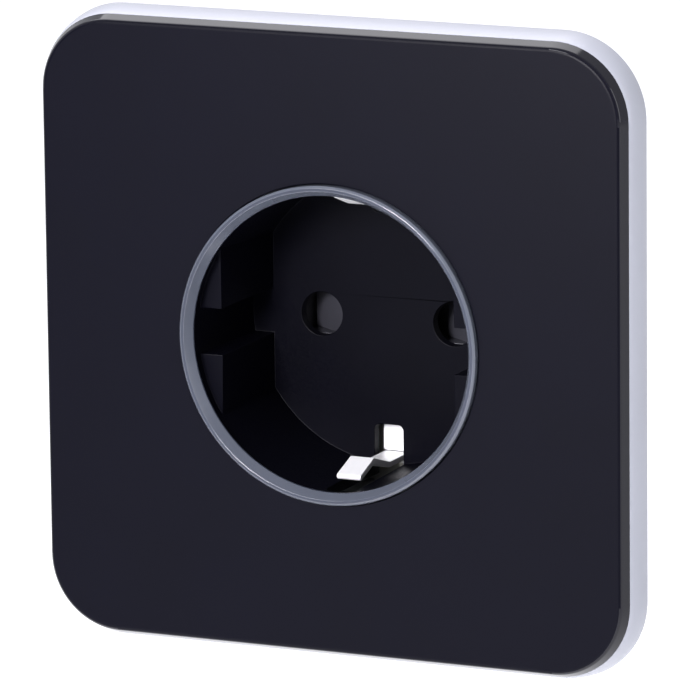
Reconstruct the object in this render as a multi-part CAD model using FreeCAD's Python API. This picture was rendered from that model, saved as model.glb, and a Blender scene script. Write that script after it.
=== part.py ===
import FreeCAD
import Part
import math
import os

# Flush-mounted smart wall socket, type F, in millimetres.
# Origin: centre of the wall plane. +X right and +Z up as seen from the room, +Y into the wall.

# Front plate and the translucent frame behind it
plate_side = 81.2          # front outline
plate_thick = 1.6
plate_flare = 0.7          # the sides widen by this much towards the wall
plate_corner = 9.5
plate_edge_round = 0.45
frame_depth = 4.0
frame_flare = 0.9
rib_wall = 1.1             # locating rib that snaps over the steel plate
rib_gap_to_wall = 0.3

# Socket well. Depths are counted from the plate's front.
well_mouth_r = 19.9
well_draft = 0.4           # the bore narrows by this much at its floor
well_wall = 1.4
well_step_depth = 2.75     # where the flats start
well_depth = 18.6
well_flat_half = 16.5
well_groove_half = 3.05
floor_thick = 1.6
pin_pitch = 19.0
pin_hole_r = 2.95
earth_slot_half = 2.05
earth_slot_reach = 5.3     # from the well's wall towards its centre
earth_slot_corner = 0.8

# Light ring around the well's mouth
ring_band = 1.1            # from the well's mouth out to the ring's edge
ring_lip = 0.4             # the lip hides this much of the well's mouth
ring_proud = 0.9           # stands out of the plate
ring_lip_depth = 1.4       # from the ring's front down to its inner lip
ring_lip_thick = 0.25
ring_crown = 0.4           # flat crown between the chamfer and the slope
ring_chamfer = 0.3
ring_tube_wall = 0.5
ring_flange = 3.2          # width of the hidden flange that takes in the light
ring_flange_thick = 1.0

# Shutter and its cage behind the well's floor
shutter_thick = 4.1
shutter_half_z = 4.5
shutter_travel = 6.0
shutter_overlap = 0.2
shutter_window_half_z = 2.9
shutter_ramp_depth = 3.3
shutter_lug_drop = 4.0
shutter_lug_width = 3.2
cage_wall = 1.1
spring_r = 1.5
spring_wire = 0.35
spring_length = 12.5
spring_post = 1.6

# Electrical contacts
pin_r = 2.4
contact_wall = 0.8
contact_length = 10.6
contact_slit = 1.0
contact_tab = 2.4
earth_strip = 0.8
earth_half_width = 1.7
earth_bow = 1.5            # the clip bends in by this much to meet the plug
earth_flare = 1.4          # and back out again at its tip
earth_bend_depth = 15.1
earth_contact_depth = 10.2
earth_tip_depth = 6.2

# Steel mounting plate
steel_side = 71.0
steel_thick = 1.2
steel_corner = 3.0
box_screw_pitch = 60.0
box_screw_r = 1.8
box_slot_length = 6.4

# Core housing
housing_wall = 1.5
housing_depth = 44.0
cover_thick = 1.6
carrier_thick = 1.5
chimney_wall = 1.0
chimney_length = 8.0
ledge_width = 1.1
ledge_height = 1.3
boss_r = 1.9
boss_length = 9.0
boss_overlap = 0.8         # how far a boss runs into the housing's wall
rear_boss_overlap = 0.5
screw_r = 0.85
screw_head_r = 1.7
screw_length = 7.0
vent_count = 5
vent_pitch = 3.0
vent_height = 1.2
vent_half = 9.0

# Boards
board_thick = 1.6
led_board_thick = 0.9
led_count = 12
led_size = (1.6, 0.35, 0.8)

# Feed to the light board: spring pins in a header, and a ribbon back to the main board
header_half_x = 4.0
header_height = 2.0
header_y = (0.4, 5.0)
feed_pin_r = 0.45
feed_pin_places = (-2.54, 0.0, 2.54)
ribbon_half_x = 3.0
ribbon_thick = 0.4
ribbon_drop = 0.7          # from the header's outer side down to the ribbon

# Parts on the main board, each as (x from, x to), length forward of the board, (z from, z to)
relay_place = ((-9.5, 9.5), 10.2, (6.4, 18.9))
film_capacitor_place = ((-6.5, 6.5), 9.0, (-12.4, -6.4))
transformer_core = ((8.5, 18.3), 8.0, (-14.0, -5.2))
transformer_former = ((9.3, 17.5), 9.0, (-13.0, -6.2))
transformer_lift = 1.2
radio_board_place = ((18.2, 19.0), 9.4, (-3.0, 13.0))
radio_shield_place = ((16.7, 18.2), 8.0, (0.4, 10.2))
radio_shield_lift = 1.4
bulk_capacitor_r = 3.2
bulk_capacitor_length = 9.8
bulk_capacitor_at = (-15.0, -10.0)
fuse_r = 1.8
fuse_length = 8.4
fuse_at = (14.0, 9.6)
varistor_r = 4.0
varistor_x = (-17.8, -14.4)
varistor_z = 9.5
varistor_rise = 4.6        # from the board to its centre
shunt_x = (-16.5, -13.5)
shunt_height = 2.4
shunt_sheet = 0.9
shunt_half = 4.0
shunt_leg = 1.4

# Terminals
terminal_places = (-10.0, 0.0, 10.0)
terminal_half_x = 3.2
terminal_z = (-20.5, -13.0)
terminal_length = 7.0
wire_bore_r = 1.5
wire_bore_z = -15.2
terminal_screw_r = 1.4
terminal_head_r = 2.2
terminal_head = 1.4
terminal_head_gap = 2.2    # from the terminal to the screw's head
terminal_screw_lift = 3.6  # from the main board's back
driver_slot_half = 0.35
driver_slot_depth = 0.6
access_hole_r = 2.8

# Spreading claws
claw_centre_z = 7.0
claw_half_width = 3.0
claw_sheet = 1.2
claw_pivot_y = 1.3
claw_pin_r = 0.8
claw_length = 25.0
claw_screw_r = 1.2
claw_head_r = 2.3
claw_head = 1.2
claw_foot_edge = 0.6       # sheet left outside the screw
claw_tooth = 0.4
claw_tooth_pitch = 1.5
lug_sheet = 1.0
lug_half = 1.4

# Clearances
fit_gap = 0.05
seat_gap = 0.1
slide_gap = 0.15
close_gap = 0.2
part_gap = 0.3
way_gap = 0.4
wide_gap = 0.5
bridge_gap = 0.7
over = 1.0                 # cutting shapes run past what they cut by this much

# Levels along Y
plate_y = -(frame_depth + plate_thick)
ring_y = plate_y - ring_proud
ring_lip_y = ring_y + ring_lip_depth
rim_y = ring_lip_y + ring_lip_thick + fit_gap
step_y = plate_y + well_step_depth
floor_y = plate_y + well_depth
floor_back_y = floor_y + floor_thick
shutter_y = floor_back_y + part_gap
cage_back_y = shutter_y + shutter_thick + part_gap
bridge_y = cage_back_y + cage_wall + bridge_gap
pad_y = floor_back_y + wide_gap + earth_strip / 2
carrier_y = bridge_y + earth_strip + close_gap
terminal_end_y = housing_depth - way_gap
board_back_y = terminal_end_y - terminal_length
board_y = board_back_y - board_thick
terminal_screw_y = board_back_y + terminal_screw_lift
flange_y = -frame_depth + seat_gap
led_board_y = -steel_thick - part_gap - led_board_thick

# Radii and half widths that follow from the ones above
pin_x = pin_pitch / 2
well_floor_r = well_mouth_r - well_draft
well_outer_r = well_mouth_r + well_wall
ring_outer_r = well_mouth_r + ring_band
ring_flange_r = ring_outer_r + ring_flange
rim_outer_r = ring_outer_r - ring_tube_wall - fit_gap
led_board_outer_r = ring_flange_r + way_gap
shutter_end = pin_x + shutter_travel / 2 + shutter_overlap
cage_half_z = shutter_half_z + part_gap + cage_wall
cage_end = shutter_end + shutter_travel + part_gap + cage_wall
earth_slot_inner_r = well_floor_r - earth_slot_reach
earth_clip_r = well_floor_r - earth_strip / 2 - way_gap
earth_contact_r = earth_clip_r - earth_bow
earth_tip_r = earth_contact_r + earth_flare
earth_arm_r = earth_slot_inner_r - 2 * earth_strip
earth_tail_r = well_outer_r + bridge_gap
steel_hole_r = max(well_outer_r, math.hypot(cage_end, cage_half_z)) + wide_gap
boss_ring_r = steel_hole_r + close_gap + boss_r
housing_inner_r = boss_ring_r + boss_r - boss_overlap
housing_r = housing_inner_r + housing_wall
inner_flat = max(well_outer_r, cage_end) + way_gap
housing_flat = inner_flat + housing_wall
rear_boss_ring_r = housing_inner_r - boss_r + rear_boss_overlap
header_z = (steel_hole_r + way_gap, steel_hole_r + way_gap + header_height)
ribbon_z = (header_z[1] - ribbon_drop, header_z[1] - ribbon_drop + ribbon_thick)
contact_outer_r = pin_r + contact_wall
claw_side_x = housing_flat + lug_half + part_gap
claw_screw_x = claw_side_x + claw_pin_r + claw_screw_r + seat_gap
claw_foot_r = math.hypot(claw_screw_x, claw_centre_z) + claw_screw_r + claw_foot_edge
rib_half = steel_side / 2 + slide_gap
frame_window_half = rib_half + rib_wall + close_gap


def box(x, y, z):
    return Part.makeBox(x[1] - x[0], y[1] - y[0], z[1] - z[0], FreeCAD.Vector(x[0], y[0], z[0]))


def bar_x(radius, x, y, z):
    return Part.makeCylinder(radius, x[1] - x[0], FreeCAD.Vector(x[0], y, z), FreeCAD.Vector(1, 0, 0))


def bar_y(radius, y, x=0.0, z=0.0):
    return Part.makeCylinder(radius, y[1] - y[0], FreeCAD.Vector(x, y[0], z), FreeCAD.Vector(0, 1, 0))


def bar_z(radius, z, x, y):
    return Part.makeCylinder(radius, z[1] - z[0], FreeCAD.Vector(x, y, z[0]), FreeCAD.Vector(0, 0, 1))


def cone_y(r_front, r_back, y, x=0.0, z=0.0):
    return Part.makeCone(r_front, r_back, y[1] - y[0], FreeCAD.Vector(x, y[0], z), FreeCAD.Vector(0, 1, 0))


def tube_y(outer, inner, y, x=0.0, z=0.0):
    return bar_y(outer, y, x, z).cut(bar_y(inner, (y[0] - 1, y[1] + 1), x, z))


def join(shapes):
    first = shapes[0]
    return first.fuse(shapes[1:]).removeSplitter() if len(shapes) > 1 else first


def mirrored_z(shape):
    return shape.mirror(FreeCAD.Vector(0, 0, 0), FreeCAD.Vector(0, 0, 1))


def half_turn(shape):
    turned = shape.copy()
    turned.rotate(FreeCAD.Vector(0, 0, 0), FreeCAD.Vector(0, 1, 0), 180)
    return turned


# Closed wire of a rounded square in the plane at depth y
def rounded_square(half, radius, y):
    edges = []
    for quarter in range(4):
        turn = FreeCAD.Rotation(FreeCAD.Vector(0, 1, 0), -90 * quarter)
        centre = FreeCAD.Vector(half - radius, 0, half - radius)
        diagonal = radius / math.sqrt(2)
        start = FreeCAD.Vector(half, 0, half - radius)
        middle = centre + FreeCAD.Vector(diagonal, 0, diagonal)
        end = FreeCAD.Vector(half - radius, 0, half)
        following = FreeCAD.Vector(-(half - radius), 0, half)
        shift = FreeCAD.Vector(0, y, 0)
        start, middle, end, following = [turn.multVec(p) + shift for p in (start, middle, end, following)]
        edges.append(Part.Arc(start, middle, end).toShape())
        edges.append(Part.makeLine(end, following))
    return Part.Wire(edges)


def rounded_block(half_front, half_back, radius_front, radius_back, y):
    front = rounded_square(half_front, radius_front, y[0])
    back = rounded_square(half_back, radius_back, y[1])
    return Part.makeLoft([front, back], True, True)


# Solid of revolution about the Y axis, from (radius, y) points
def turned(profile):
    points = [FreeCAD.Vector(radius, y, 0) for radius, y in profile]
    wire = Part.makePolygon(points + points[:1])
    return Part.Face(wire).revolve(FreeCAD.Vector(0, 0, 0), FreeCAD.Vector(0, 1, 0), 360)


# Prism along Z from (x, y) points
def prism_z(points, z):
    corners = [FreeCAD.Vector(x, y, z[0]) for x, y in points]
    face = Part.Face(Part.makePolygon(corners + corners[:1]))
    return face.extrude(FreeCAD.Vector(0, 0, z[1] - z[0]))


# Sheet strip in the plane of Y and Z that follows (y, z) points, with round bends
def bent_strip(points, sheet, half_width):
    solids = [bar_x(sheet / 2, (-half_width, half_width), y, z) for y, z in points]
    for (y0, z0), (y1, z1) in zip(points, points[1:]):
        length = math.hypot(y1 - y0, z1 - z0)
        run = box((-half_width, half_width), (0, length), (-sheet / 2, sheet / 2))
        slope = math.degrees(math.atan2(z1 - z0, y1 - y0))
        run.rotate(FreeCAD.Vector(0, 0, 0), FreeCAD.Vector(1, 0, 0), slope)
        run.translate(FreeCAD.Vector(0, y0, z0))
        solids.append(run)
    return join(solids)


# Round body with two flats, the outline of everything inside the core housing
def flatted(radius, flat, y):
    return bar_y(radius, y).common(box((-flat, flat), (y[0] - 1, y[1] + 1), (-radius, radius)))


# Gap at the top through which the ribbon passes a wall or board at these levels
def ribbon_way(levels):
    return box((-header_half_x, header_half_x), (levels[0] - 0.5, levels[1] + 0.5),
               (ribbon_z[0] - way_gap, housing_r))


# The same at the bottom, for the earth bridge's tail
def tail_way(levels):
    half_x = earth_half_width + way_gap
    return box((-half_x, half_x), (levels[0] - 0.5, levels[1] + 0.5),
               (-housing_r, -earth_tail_r + earth_strip / 2 + way_gap))


def diagonal_places(ring_r):
    offset = ring_r / math.sqrt(2)
    return [(sx * offset, sz * offset) for sx in (-1, 1) for sz in (-1, 1)]


def front_plate():
    half = plate_side / 2
    slab = rounded_block(half, half + plate_flare, plate_corner, plate_corner + plate_flare,
                         (plate_y, -frame_depth))
    front_edges = [e for e in slab.Edges if all(abs(v.Y - plate_y) < 1e-6 for v in e.Vertexes)]
    slab = slab.makeFillet(min(plate_edge_round, plate_thick / 2), front_edges)
    rib_y = (-frame_depth, -rib_gap_to_wall)
    outer = rounded_block(rib_half + rib_wall, rib_half + rib_wall, steel_corner + rib_wall,
                          steel_corner + rib_wall, rib_y)
    inner = rounded_block(rib_half, rib_half, steel_corner, steel_corner, (rib_y[0], rib_y[1] + 1))
    opening = bar_y(ring_outer_r + slide_gap, (plate_y - 1, 0))
    return join([slab, outer.cut(inner)]).cut(opening)


def rear_frame():
    half = plate_side / 2 + plate_flare
    corner = plate_corner + plate_flare
    body = rounded_block(half, half + frame_flare, corner, corner + frame_flare, (-frame_depth, 0))
    window = rounded_block(frame_window_half, frame_window_half, steel_corner + rib_wall,
                           steel_corner + rib_wall, (-frame_depth - 1, 1))
    return body.cut(window)


def light_ring():
    tube_r = ring_outer_r - ring_tube_wall
    lip_r = well_mouth_r - ring_lip
    crown_r = ring_outer_r - ring_chamfer
    lip_back_y = ring_lip_y + ring_lip_thick
    flange_back_y = flange_y + ring_flange_thick
    return turned([
        (crown_r, ring_y), (ring_outer_r, ring_y + ring_chamfer), (ring_outer_r, flange_y),
        (ring_flange_r, flange_y), (ring_flange_r, flange_back_y), (tube_r, flange_back_y),
        (tube_r, lip_back_y), (lip_r, lip_back_y), (lip_r, ring_lip_y), (crown_r - ring_crown, ring_y)])


# One earth slot, at the bottom: along the well's wall and on through the floor
def earth_slot():
    low = -(well_outer_r + 1)
    wall_part = box((-earth_slot_half, earth_slot_half), (step_y, floor_back_y + 1),
                    (low, -well_floor_r + 1))
    edges = [e for e in wall_part.Edges if all(abs(v.Y - step_y) < 1e-6 for v in e.Vertexes)
             and abs(e.Vertexes[0].Z - e.Vertexes[1].Z) > 1]
    wall_part = wall_part.makeFillet(earth_slot_corner, edges)
    floor_part = box((-earth_slot_half, earth_slot_half), (floor_y - 1, floor_back_y + 1),
                     (-well_floor_r, -earth_slot_inner_r))
    inner = [e for e in floor_part.Edges if all(abs(v.Z + earth_slot_inner_r) < 1e-6 for v in e.Vertexes)
             and abs(e.Vertexes[0].Y - e.Vertexes[1].Y) > 1]
    return wall_part.fuse(floor_part.makeFillet(earth_slot_corner, inner))


def socket_well():
    shoulder_y = flange_y + ring_flange_thick + slide_gap
    body = bar_y(rim_outer_r, (rim_y, shoulder_y)).fuse(bar_y(well_outer_r, (shoulder_y, floor_back_y)))
    mouth = bar_y(well_mouth_r, (rim_y - 1, step_y))
    bore = cone_y(well_mouth_r, well_floor_r, (step_y, floor_y))
    levels = (step_y - 1, floor_y + 1)
    flats = bore.common(box((-well_flat_half, well_flat_half), levels, (-well_mouth_r, well_mouth_r)))
    groove = bore.common(box((-well_mouth_r, well_mouth_r), levels, (-well_groove_half, well_groove_half)))
    cuts = [mouth, flats, groove, earth_slot(), mirrored_z(earth_slot())]
    cuts += [bar_y(pin_hole_r, (floor_y - 1, floor_back_y + 1), side * pin_x) for side in (-1, 1)]
    return body.cut(cuts)


# The carriage blocks both pin holes at rest; its ramps face the room
def shutter():
    levels = (shutter_y, shutter_y + shutter_thick)
    window = (pin_x - shutter_travel - shutter_window_half_z + seat_gap,
              pin_x - shutter_travel / 2 - shutter_overlap)
    body = box((-shutter_end, shutter_end), levels, (-shutter_half_z, shutter_half_z))
    lug = box((-shutter_end, -shutter_end + shutter_lug_width), levels,
              (-shutter_half_z - shutter_lug_drop, -shutter_half_z))
    cuts = [box(window, (levels[0] - 1, levels[1] + 1), (-shutter_window_half_z, shutter_window_half_z))]
    for deep_x in (-shutter_end, window[1]):
        ramp = [(deep_x - 0.1, levels[0] - 0.1), (deep_x - 0.1, levels[0] + shutter_ramp_depth),
                (deep_x + 2 * pin_hole_r, levels[0] - 0.1)]
        cuts.append(prism_z(ramp, (-shutter_window_half_z, shutter_window_half_z)))
    return join([body, lug]).cut(cuts)


# The spring lies between the carriage's lug and a post on the cage
def spring_span():
    start = -shutter_end + shutter_lug_width
    return start, start + spring_length


def shutter_spring():
    y = shutter_y + shutter_thick / 2
    z = -shutter_half_z - shutter_lug_drop / 2 - 0.4
    outer = bar_x(spring_r, spring_span(), y, z)
    return outer.cut(bar_x(spring_r - spring_wire, spring_span(), y, z))


def shutter_cage():
    half_z = shutter_half_z + part_gap
    pocket_z = -half_z - shutter_lug_drop
    post_x = spring_span()[1]
    levels = (floor_back_y, cage_back_y + cage_wall)
    inside = (floor_back_y - 1, cage_back_y)
    travel = (-shutter_end - part_gap, cage_end - cage_wall)
    pocket = (travel[0], post_x + spring_post)
    outer = join([
        box((travel[0] - cage_wall, cage_end), levels, (-cage_half_z, cage_half_z)),
        box((pocket[0] - cage_wall, pocket[1] + cage_wall), levels, (pocket_z - cage_wall, -half_z))])
    holes = [box(travel, inside, (-half_z, half_z)), box(pocket, inside, (pocket_z, -half_z + 1))]
    holes += [bar_y(pin_hole_r, levels, side * pin_x) for side in (-1, 1)]
    post = box((post_x, post_x + spring_post), (shutter_y, cage_back_y), (pocket_z, -half_z))
    return join([outer.cut(holes), post])


def led_board():
    return tube_y(led_board_outer_r, well_outer_r + way_gap, (led_board_y, led_board_y + led_board_thick))


def leds():
    ring_r = (ring_flange_r + ring_outer_r) / 2 + 0.3
    length, height, width = led_size
    chips = []
    for index in range(led_count):
        chip = box((-length / 2, length / 2), (led_board_y - height, led_board_y),
                   (ring_r - width / 2, ring_r + width / 2))
        chip.rotate(FreeCAD.Vector(0, 0, 0), FreeCAD.Vector(0, 1, 0), 360 * (index + 0.5) / led_count)
        chips.append(chip)
    return Part.makeCompound(chips)


# Two slots on the sides and two above and below, all on the same pitch
def box_slots():
    reach = box_slot_length / 2 - box_screw_r
    centre = box_screw_pitch / 2
    levels = (-steel_thick - 1, 1)
    slot = join([
        box((centre - reach, centre + reach), levels, (-box_screw_r, box_screw_r)),
        bar_y(box_screw_r, levels, centre - reach), bar_y(box_screw_r, levels, centre + reach)])
    slots = []
    for quarter in range(4):
        copy = slot.copy()
        copy.rotate(FreeCAD.Vector(0, 0, 0), FreeCAD.Vector(0, 1, 0), 90 * quarter)
        slots.append(copy)
    return slots


def countersunk(y, x, z, direction):
    head = screw_head_r - screw_r
    if direction > 0:
        return cone_y(screw_head_r, screw_r, (y, y + head), x, z)
    return cone_y(screw_r, screw_head_r, (y - head, y), x, z)


# Two lugs bent back from the plate, which carry the claw's pivot pin
def claw_lugs():
    lugs = []
    reach = claw_half_width + 0.25
    for side in (-1, 1):
        inner = claw_centre_z + side * reach
        outer = inner + side * lug_sheet
        lug = box((claw_side_x - lug_half, claw_side_x + lug_half), (-0.2, claw_pivot_y + lug_half),
                  (min(inner, outer), max(inner, outer)))
        lugs.append(lug)
    hole = bar_z(claw_pin_r + fit_gap, (claw_centre_z - 9, claw_centre_z + 9), claw_side_x, claw_pivot_y)
    return [lug.cut(hole) for lug in lugs]


def mounting_plate():
    half = steel_side / 2
    sheet = rounded_block(half, half, steel_corner, steel_corner, (-steel_thick, 0))
    screw_slot = box((claw_screw_x - claw_screw_r - 0.9, claw_screw_x + claw_screw_r + 0.4),
                     (-steel_thick - 1, 1),
                     (claw_centre_z - claw_screw_r - 0.3, claw_centre_z + claw_screw_r + 0.3))
    pin_window = box((-header_half_x - part_gap, header_half_x + part_gap), (-steel_thick - 1, 1),
                     (steel_hole_r - 2, header_z[1] + part_gap))
    cuts = [bar_y(steel_hole_r, (-steel_thick - 1, 1)), screw_slot, half_turn(screw_slot), pin_window]
    cuts += box_slots()
    for x, z in diagonal_places(boss_ring_r):
        cuts.append(countersunk(-steel_thick, x, z, 1))
        cuts.append(bar_y(screw_r + fit_gap, (-steel_thick - 1, 1), x, z))
    lugs = claw_lugs()
    lugs += [half_turn(lug) for lug in lugs]
    return join([sheet.cut(cuts)] + lugs)


def plate_screws():
    screws = []
    for x, z in diagonal_places(boss_ring_r):
        screws.append(join([countersunk(-steel_thick, x, z, 1),
                            bar_y(screw_r, (-steel_thick + 0.5, screw_length), x, z)]))
    return Part.makeCompound(screws)


def pin_header():
    block = box((-header_half_x, header_half_x), header_y, header_z)
    middle = (header_z[0] + header_z[1]) / 2
    through = (header_y[0] - over, header_y[1] + over)
    return block.cut([bar_y(feed_pin_r, through, x, middle) for x in feed_pin_places])


def contact_pins():
    middle = (header_z[0] + header_z[1]) / 2
    top = led_board_y + led_board_thick + 0.1
    return Part.makeCompound([bar_y(feed_pin_r, (top, header_y[1]), x, middle) for x in feed_pin_places])


def ribbon_cable():
    return box((-ribbon_half_x, ribbon_half_x), (header_y[1], board_y), ribbon_z)


def access_holes():
    return [bar_z(access_hole_r, (-housing_r - 1, terminal_z[0] - 0.5), x, terminal_screw_y)
            for x in terminal_places]


def core_housing():
    shell = flatted(housing_r, housing_flat, (0, housing_depth))
    hollow = flatted(housing_inner_r, inner_flat, (-1, housing_depth + 1))
    solids = [shell.cut(hollow)]
    ledge_y = (carrier_y + carrier_thick + 0.1, carrier_y + carrier_thick + 0.1 + ledge_height)
    ledge = flatted(housing_inner_r + 0.5, inner_flat + 0.5, ledge_y)
    solids.append(ledge.cut(flatted(housing_inner_r - ledge_width, inner_flat - ledge_width,
                                    (ledge_y[0] - 1, ledge_y[1] + 1))))
    outside = flatted(housing_r - 0.2, housing_flat - 0.2, (0, housing_depth))
    bosses = [bar_y(boss_r, (0, boss_length), x, z) for x, z in diagonal_places(boss_ring_r)]
    bosses += [bar_y(boss_r, (board_back_y + 0.1, housing_depth), x, z)
               for x, z in diagonal_places(rear_boss_ring_r)]
    solids += [boss.common(outside) for boss in bosses]
    cuts = access_holes()
    cuts += [bar_y(screw_r, (-1, screw_length), x, z) for x, z in diagonal_places(boss_ring_r)]
    cuts += [bar_y(screw_r, (housing_depth - screw_length, housing_depth + 1), x, z)
             for x, z in diagonal_places(rear_boss_ring_r)]
    inside = flatted(housing_inner_r, inner_flat, (0, housing_depth))
    cuts += [ribbon_way(ledge_y).common(inside), tail_way(ledge_y).common(inside)]
    return join(solids).cut(cuts)


def rear_cover():
    levels = (housing_depth, housing_depth + cover_thick)
    lid = flatted(housing_r, housing_flat, levels)
    through = (levels[0] - over, levels[1] + over)
    cuts = [bar_y(wire_bore_r + wide_gap, through, x, wire_bore_z) for x in terminal_places]
    for x, z in diagonal_places(rear_boss_ring_r):
        cuts.append(countersunk(levels[1], x, z, -1))
        cuts.append(bar_y(screw_r + fit_gap, (levels[0] - 1, levels[1] + 1), x, z))
    for row in range(vent_count):
        z = vent_pitch * (row + 1) - vent_height / 2
        cuts.append(box((-vent_half, vent_half), (levels[0] - 1, levels[1] + 1), (z, z + vent_height)))
    return lid.cut(cuts)


def rear_cover_screws():
    back = housing_depth + cover_thick
    screws = []
    for x, z in diagonal_places(rear_boss_ring_r):
        shank = bar_y(screw_r, (back - screw_length, back - wide_gap), x, z)
        screws.append(join([countersunk(back, x, z, -1), shank]))
    return Part.makeCompound(screws)


def contact_carrier():
    levels = (carrier_y, carrier_y + carrier_thick)
    chimney_r = contact_outer_r + slide_gap
    disc = flatted(housing_inner_r - slide_gap, inner_flat - slide_gap, levels)
    solids = [disc]
    cuts = []
    for side in (-1, 1):
        solids.append(bar_y(chimney_r + chimney_wall, (levels[0], levels[1] + chimney_length), side * pin_x))
        cuts.append(bar_y(chimney_r, (levels[0] - 1, levels[1] + chimney_length + 1), side * pin_x))
    return join(solids).cut(cuts + [ribbon_way(levels), tail_way(levels)])


# Slit sleeve that grips one plug pin, with a tab down to the board
def pin_contact(side):
    x = side * pin_x
    start = carrier_y + 0.3
    end = start + contact_length
    sleeve = tube_y(contact_outer_r, pin_r, (start, end), x)
    slit = box((x - contact_slit / 2, x + contact_slit / 2), (start - 1, end - 2),
               (-contact_outer_r - 1, contact_outer_r + 1))
    base = bar_y(contact_outer_r, (end, end + contact_wall), x)
    tab = box((x - contact_tab / 2, x + contact_tab / 2), (end, board_y),
              (-contact_wall / 2, contact_wall / 2))
    return join([sleeve.cut(slit), base, tab])


def live_contact():
    return pin_contact(-1)


def neutral_contact():
    return pin_contact(1)


# Strip across the carrier. Each arm comes forward and ends as a pad behind an earth slot,
# and a tail goes back to the earth terminal.
def earth_bridge():
    middle_y = bridge_y + earth_strip / 2
    pad_end = earth_clip_r - earth_strip - 2 * fit_gap
    tail_z = -earth_tail_r
    tail_y = board_back_y + earth_strip / 2
    path = [(pad_y, pad_end), (pad_y, earth_arm_r), (middle_y, earth_arm_r), (middle_y, tail_z),
            (tail_y, tail_z), (tail_y, terminal_z[1] - 1)]
    lower_arm = [(middle_y, -earth_arm_r), (pad_y, -earth_arm_r), (pad_y, -pad_end)]
    return join([bent_strip(path, earth_strip, earth_half_width),
                 bent_strip(lower_arm, earth_strip, earth_half_width)])


# Springy strip that stands in the earth slot and bends in to meet the plug
def earth_clip_bottom():
    path = [(pad_y, -earth_clip_r), (plate_y + earth_bend_depth, -earth_clip_r),
            (plate_y + earth_contact_depth, -earth_contact_r), (plate_y + earth_tip_depth, -earth_tip_r)]
    return bent_strip(path, earth_strip, earth_half_width)


def earth_clip_top():
    return mirrored_z(earth_clip_bottom())


def main_board():
    board = flatted(housing_inner_r - part_gap, inner_flat - part_gap, (board_y, board_back_y))
    return board.cut(tail_way((board_y, board_back_y)))


# Block that stands on the main board and points to the room
def board_block(place, lift=0.0):
    x, length, z = place
    return box(x, (board_y - length, board_y - lift), z)


def board_can(radius, length, at):
    return bar_y(radius, (board_y - length, board_y), at[0], at[1])


def relay():
    return board_block(relay_place)


def film_capacitor():
    return board_block(film_capacitor_place)


def bulk_capacitor():
    return board_can(bulk_capacitor_r, bulk_capacitor_length, bulk_capacitor_at)


def power_transformer():
    return join([board_block(transformer_core, transformer_lift), board_block(transformer_former)])


def varistor():
    return bar_x(varistor_r, varistor_x, board_y - varistor_rise, varistor_z)


def fuse():
    return board_can(fuse_r, fuse_length, fuse_at)


def radio_board():
    return board_block(radio_board_place)


def radio_shield():
    return board_block(radio_shield_place, radio_shield_lift)


def current_shunt():
    arch = box(shunt_x, (board_back_y, board_back_y + shunt_height), (-shunt_half, shunt_half))
    inner = shunt_half - shunt_leg
    return arch.cut(box((shunt_x[0] - over, shunt_x[1] + over),
                        (board_back_y - over, board_back_y + shunt_height - shunt_sheet), (-inner, inner)))


def terminal(x, lift):
    start = board_back_y + lift
    block = box((x - terminal_half_x, x + terminal_half_x), (start, terminal_end_y), terminal_z)
    wire_way = bar_y(wire_bore_r, (start - 1, terminal_end_y + 1), x, wire_bore_z)
    thread = bar_z(terminal_screw_r + fit_gap, (terminal_z[0] - 1, wire_bore_z), x, terminal_screw_y)
    return block.cut([wire_way, thread])


def terminal_live():
    return terminal(terminal_places[0], 0.0)


def terminal_earth():
    return terminal(terminal_places[1], earth_strip)


def terminal_neutral():
    return terminal(terminal_places[2], 0.0)


def terminal_screw(x):
    head_top = terminal_z[0] - terminal_head_gap
    head = bar_z(terminal_head_r, (head_top - terminal_head, head_top), x, terminal_screw_y)
    slot = box((x - 3, x + 3), (terminal_screw_y - driver_slot_half, terminal_screw_y + driver_slot_half),
               (head_top - terminal_head - over, head_top - terminal_head + driver_slot_depth))
    shank = bar_z(terminal_screw_r, (head_top, wire_bore_z - wire_bore_r - 0.2), x, terminal_screw_y)
    return join([head.cut(slot), shank])


def terminal_screw_live():
    return terminal_screw(terminal_places[0])


def terminal_screw_earth():
    return terminal_screw(terminal_places[1])


def terminal_screw_neutral():
    return terminal_screw(terminal_places[2])


# Sheet arm on a pivot pin, bent outwards at its rear into a toothed foot that the screw pulls on
def claw_right():
    width = (claw_centre_z - claw_half_width, claw_centre_z + claw_half_width)
    skin = (claw_side_x - claw_sheet / 2, claw_side_x + claw_sheet / 2)
    end = claw_pivot_y + claw_length
    arm = box(skin, (claw_pivot_y, end), width)
    foot = box((skin[0], claw_foot_r), (end - claw_sheet, end), width)
    foot = foot.common(bar_y(claw_foot_r, (end - 3, end + 1)))
    pin_reach = lug_sheet + 0.45
    pin = bar_z(claw_pin_r, (width[0] - pin_reach, width[1] + pin_reach), claw_side_x, claw_pivot_y)
    cuts = [bar_y(claw_screw_r + fit_gap, (end - 3, end + 1), claw_screw_x, claw_centre_z)]
    for step in (-1.5, -0.5, 0.5, 1.5):
        z = claw_centre_z + step * claw_tooth_pitch
        edge_x = math.sqrt(claw_foot_r ** 2 - z ** 2)
        cuts.append(box((edge_x - claw_tooth, edge_x + 1), (end - 3, end + 1),
                        (z - claw_tooth, z + claw_tooth)))
    return join([arm, foot, pin]).cut(cuts)


def claw_left():
    return half_turn(claw_right())


def claw_screw_right():
    head_y = -steel_thick - part_gap
    head = bar_y(claw_head_r, (head_y - claw_head, head_y), claw_screw_x, claw_centre_z)
    slot = box((claw_screw_x - 3, claw_screw_x + 3),
               (head_y - claw_head - over, head_y - claw_head + driver_slot_depth),
               (claw_centre_z - driver_slot_half, claw_centre_z + driver_slot_half))
    shank = bar_y(claw_screw_r, (head_y, claw_pivot_y + claw_length + 3), claw_screw_x, claw_centre_z)
    return join([head.cut(slot), shank])


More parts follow.
